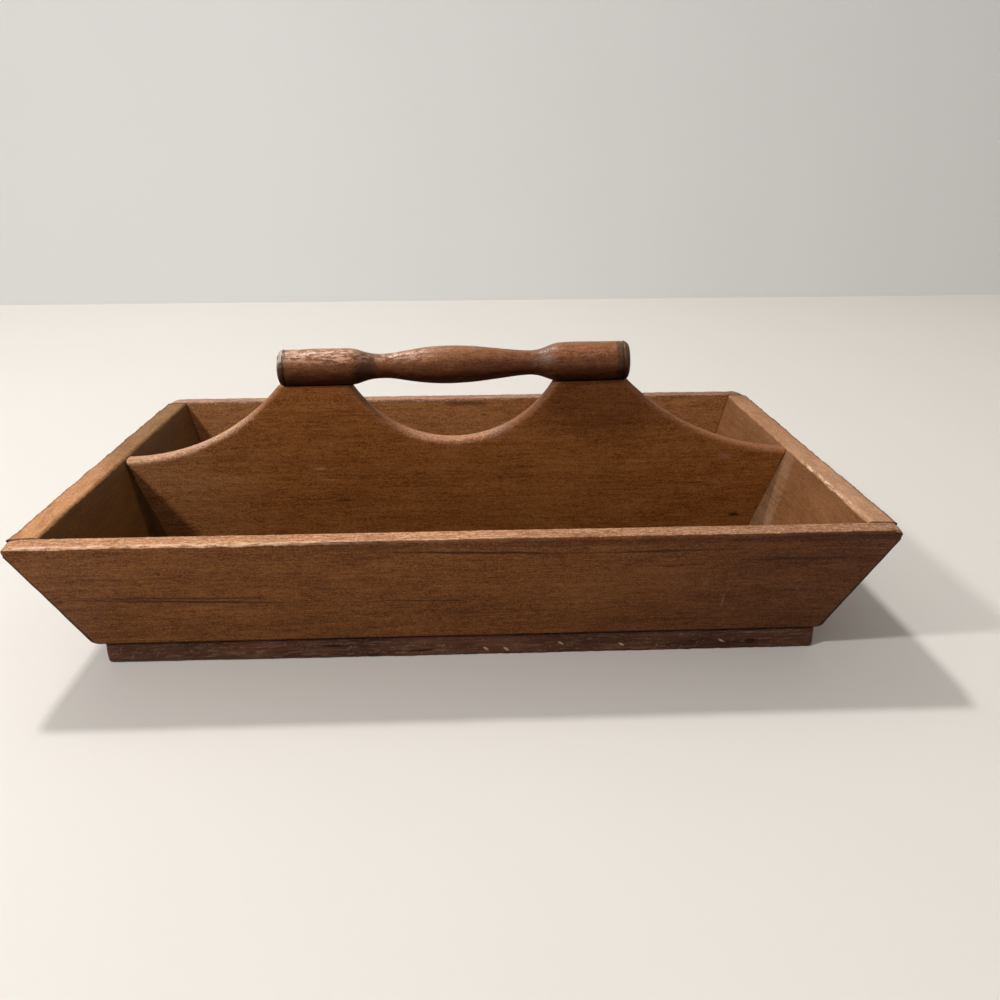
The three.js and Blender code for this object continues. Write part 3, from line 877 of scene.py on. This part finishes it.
def turn_on_lathe(name, profile, centre, sides):
    """Spins a profile about the level line through a centre that runs along x."""
    bpy.ops.object.select_all(action='DESELECT')
    bpy.ops.mesh.primitive_plane_add(size=mm)
    piece = bpy.context.object
    piece.name = piece.data.name = name
    bpy.ops.object.mode_set(mode='EDIT')
    bpy.ops.mesh.select_mode(type='VERT')
    bpy.ops.mesh.select_all(action='SELECT')
    bpy.ops.mesh.merge(type='CENTER')
    points = [Vector((centre[0] + along, centre[1], centre[2] + radius))
              for along, radius in profile]
    bpy.ops.transform.translate(value=points[0])
    for here, there in zip(points, points[1:]):
        bpy.ops.mesh.extrude_region_move(TRANSFORM_OT_translate={"value": there - here})
    bpy.ops.mesh.select_all(action='SELECT')
    bpy.ops.mesh.spin(steps=sides, angle=2 * math.pi, center=centre, axis=(1, 0, 0))
    bpy.ops.mesh.select_all(action='SELECT')
    bpy.ops.mesh.remove_doubles(threshold=0.01 * mm)
    bpy.ops.mesh.normals_make_consistent(inside=False)
    bpy.ops.object.mode_set(mode='OBJECT')
    return piece


def handle_finish():
    """Painted shade underneath and painted light on top, by height, with pale patches that are
    partly worn and partly painted highlights.
    """
    material, place = start_finish("handle wood")
    grain = wander(place, 1.5, 60, 111)
    lines = streaks(grain, 22, 0.8, 112, 3)
    fibres = streaks(grain, 6, 0.4, 113)
    mottle = streaks(grain, 9, 3, 114, 3)
    x, above = place.axis(0), place.axis(2) - handle_axis / mm
    # painted shade and light: darker below the axis, lighter above it
    tone = above * 0.047 + lines * 0.4 + fibres * 0.3 + mottle * 0.7 - 0.31
    wood = tone.node("ValToRGB", {"stops": [
        (0.06, (0.035, 0.008, 0.001)), (0.42, (0.15, 0.041, 0.005)), (0.90, (0.36, 0.138, 0.040)),
    ]}, {0: tone})
    wood = wood.tint(x.between(-40, 30), (0.76, 0.68, 0.58))
    # pale patches on top, partly worn bare and partly painted highlights, most on the left barrel
    bald_and_glints = streaks(grain, 5, 1.7, 115, 4).between(0.44, 0.58) * above.between(1, 7)
    upper_left_patch = mark(place, (-60, 0, 134), (62, 40, 14), 0.5)
    wood = (bald_and_glints * (0.12 + 0.83 * upper_left_patch)).mix(wood, (0.64, 0.38, 0.26))
    pits = streaks(grain, 1.1, 0.7, 117, 2).between(0.50, 0.60)
    wood = wood.tint(pits * 0.8, (0.50, 0.38, 0.28))
    # darker blotches in the right neck
    right_neck_dark = mark(place, (47, 0, 124), (9, 30, 30)) * streaks(place, 5, 5, 116, 3).between(0.4, 0.6)
    wood = (right_neck_dark * 0.5).mix(wood, (0.14, 0.09, 0.06))
    wood = wood.tint(x.between(86.9, 88.1) * 0.9, (0.38, 0.46, 0.5))
    wood = wood.tint(mark(place, (-51, 0, 122), (9, 40, 40)), (0.5, 0.45, 0.45))
    wood = wood.tint(x.between(-93.6, -94.4) * 0.85, (0.36, 0.36, 0.34))
    end_wear = x.between(-94.6, -95.6) * above.between(0, 6)
    end_wear = end_wear * streaks(place, 3, 3, 118, 2).between(0.4, 0.6)
    wood = end_wear.mix(wood, (0.50, 0.40, 0.32))
    height = lines * 0.05 + mottle * 0.1 + pits * -0.1
    surface(material, wood, 0.26 + 0.25 * mottle, height, sheen=0.32)
    return material


handle = turn_on_lathe("handle_turned", handle_profile(), (handle_centre, 0, handle_axis), 72)
bpy.ops.object.mode_set(mode='EDIT')
bpy.ops.mesh.select_all(action='SELECT')
bpy.ops.transform.rotate(value=handle_tilt, orient_axis='Y',
                         center_override=(handle_centre, 0, handle_axis))
bpy.ops.object.mode_set(mode='OBJECT')
wear(handle, 16 * mm, 0.3 * mm)
finish_piece(handle, handle_finish(), "handle_wood", "handle")


# Dowels
# Two short dowels of pale wood stand in the posts, one in each, and go up into the handle's
# barrels. They hold the handle on and are hidden by it.

def dowel_finish():
    material, place = start_finish("dowel wood")
    upright = place.turned((0, math.pi / 2, 0))
    lines = streaks(upright, 20, 0.8, 131, 3)
    colour = lines.mix((0.30, 0.19, 0.10), (0.50, 0.34, 0.19))
    surface(material, colour, 0.55 + 0.2 * lines, lines * 0.05)
    return material


def give_nodes(prefixes, material):
    """Gives the CAD nodes whose names start so this finish."""
    for name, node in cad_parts.items():
        if name.startswith(prefixes):
            node.data.materials.clear()
            node.data.materials.append(material)


give_nodes(("handle_dowel",), dowel_finish())


# Nails and brads
# Cut iron nails come up through the bottom into the sides, and thin brads hold the corners and the
# divider's ends. All are punched in below the wood and have gone dark with rust.

def nail_finish():
    material, place = start_finish("rusted iron")
    blotches = streaks(place, 1.4, 1.4, 141, 4)
    rust = blotches.between(0.42, 0.62)
    colour = rust.mix((0.035, 0.030, 0.028), (0.11, 0.040, 0.018))
    surface(material, colour, 0.55 + 0.35 * rust, blotches * 0.2,
            sheen=0.5, metal=0.75 - 0.6 * rust)
    return material


give_nodes(("corner_brad", "bottom_nail", "divider_nail"), nail_finish())


# Floor, backdrop and lights
# A plain pale floor that meets a white wall, a soft lamp high behind on the left and a weaker one
# in front on the left.

def plain_finish(name, colour, roughness):
    material, place = start_finish(name)
    cloud = streaks(place, 300, 200, 151)
    shade = tuple(c * 0.97 for c in colour)
    surface(material, cloud.mix(shade, colour), roughness, cloud * 0.01, sheen=0.2)
    return material


wall_at = 1.07
floor = sawn_block("floor", (-6, -6, -0.05), (6, wall_at, 0))
floor.data.materials.append(plain_finish("floor", (0.69, 0.65, 0.60), 0.8))
wall = sawn_block("wall", (-6, wall_at, -0.05), (6, wall_at + 0.05, 4))
wall.data.materials.append(plain_finish("wall", (0.85, 0.85, 0.84), 0.9))


def lamp(name, place, target, size, power):
    light = bpy.data.lights.new(name, 'AREA')
    light.shape = 'DISK'
    light.size = size
    light.energy = power
    made = bpy.data.objects.new(name, light)
    bpy.context.scene.collection.objects.link(made)
    made.location = place
    made.rotation_mode = 'QUATERNION'
    made.rotation_quaternion = (Vector(target) - Vector(place)).to_track_quat('-Z', 'Y')


lamp("key", (-0.80, 0.94, 2.5), (0, 0, 0), 0.24, 40)
lamp("fill", (-0.93, -0.60, 1.0), (-0.05, 0, 0.05), 0.14, 11)

world = bpy.data.worlds.new("room light")
bpy.context.scene.world = world
world.use_nodes = True
world.node_tree.nodes["Background"].inputs["Color"].default_value = (1, 0.98, 0.95, 1)
world.node_tree.nodes["Background"].inputs["Strength"].default_value = 0.41

# The camera stands in front, where the photograph was taken, and looks down and a bit to the right.
eye = (0.0036, -0.4947, 0.2313)
pitch, yaw, roll = math.radians(20.93), math.radians(2.24), math.radians(-0.26)
camera = bpy.data.objects.new("camera", bpy.data.cameras.new("camera"))
bpy.context.scene.collection.objects.link(camera)
bpy.context.scene.camera = camera
camera.location = eye
camera.data.sensor_width = 36
camera.data.lens = 32.4
camera.data.clip_start = 0.01
aim = Euler((math.pi / 2 - pitch, 0, -yaw)).to_matrix() @ Matrix.Rotation(roll, 3, 'Z')
camera.rotation_mode = 'QUATERNION'
camera.rotation_quaternion = aim.to_quaternion()
bpy.context.scene.view_settings.view_transform = 'Standard'
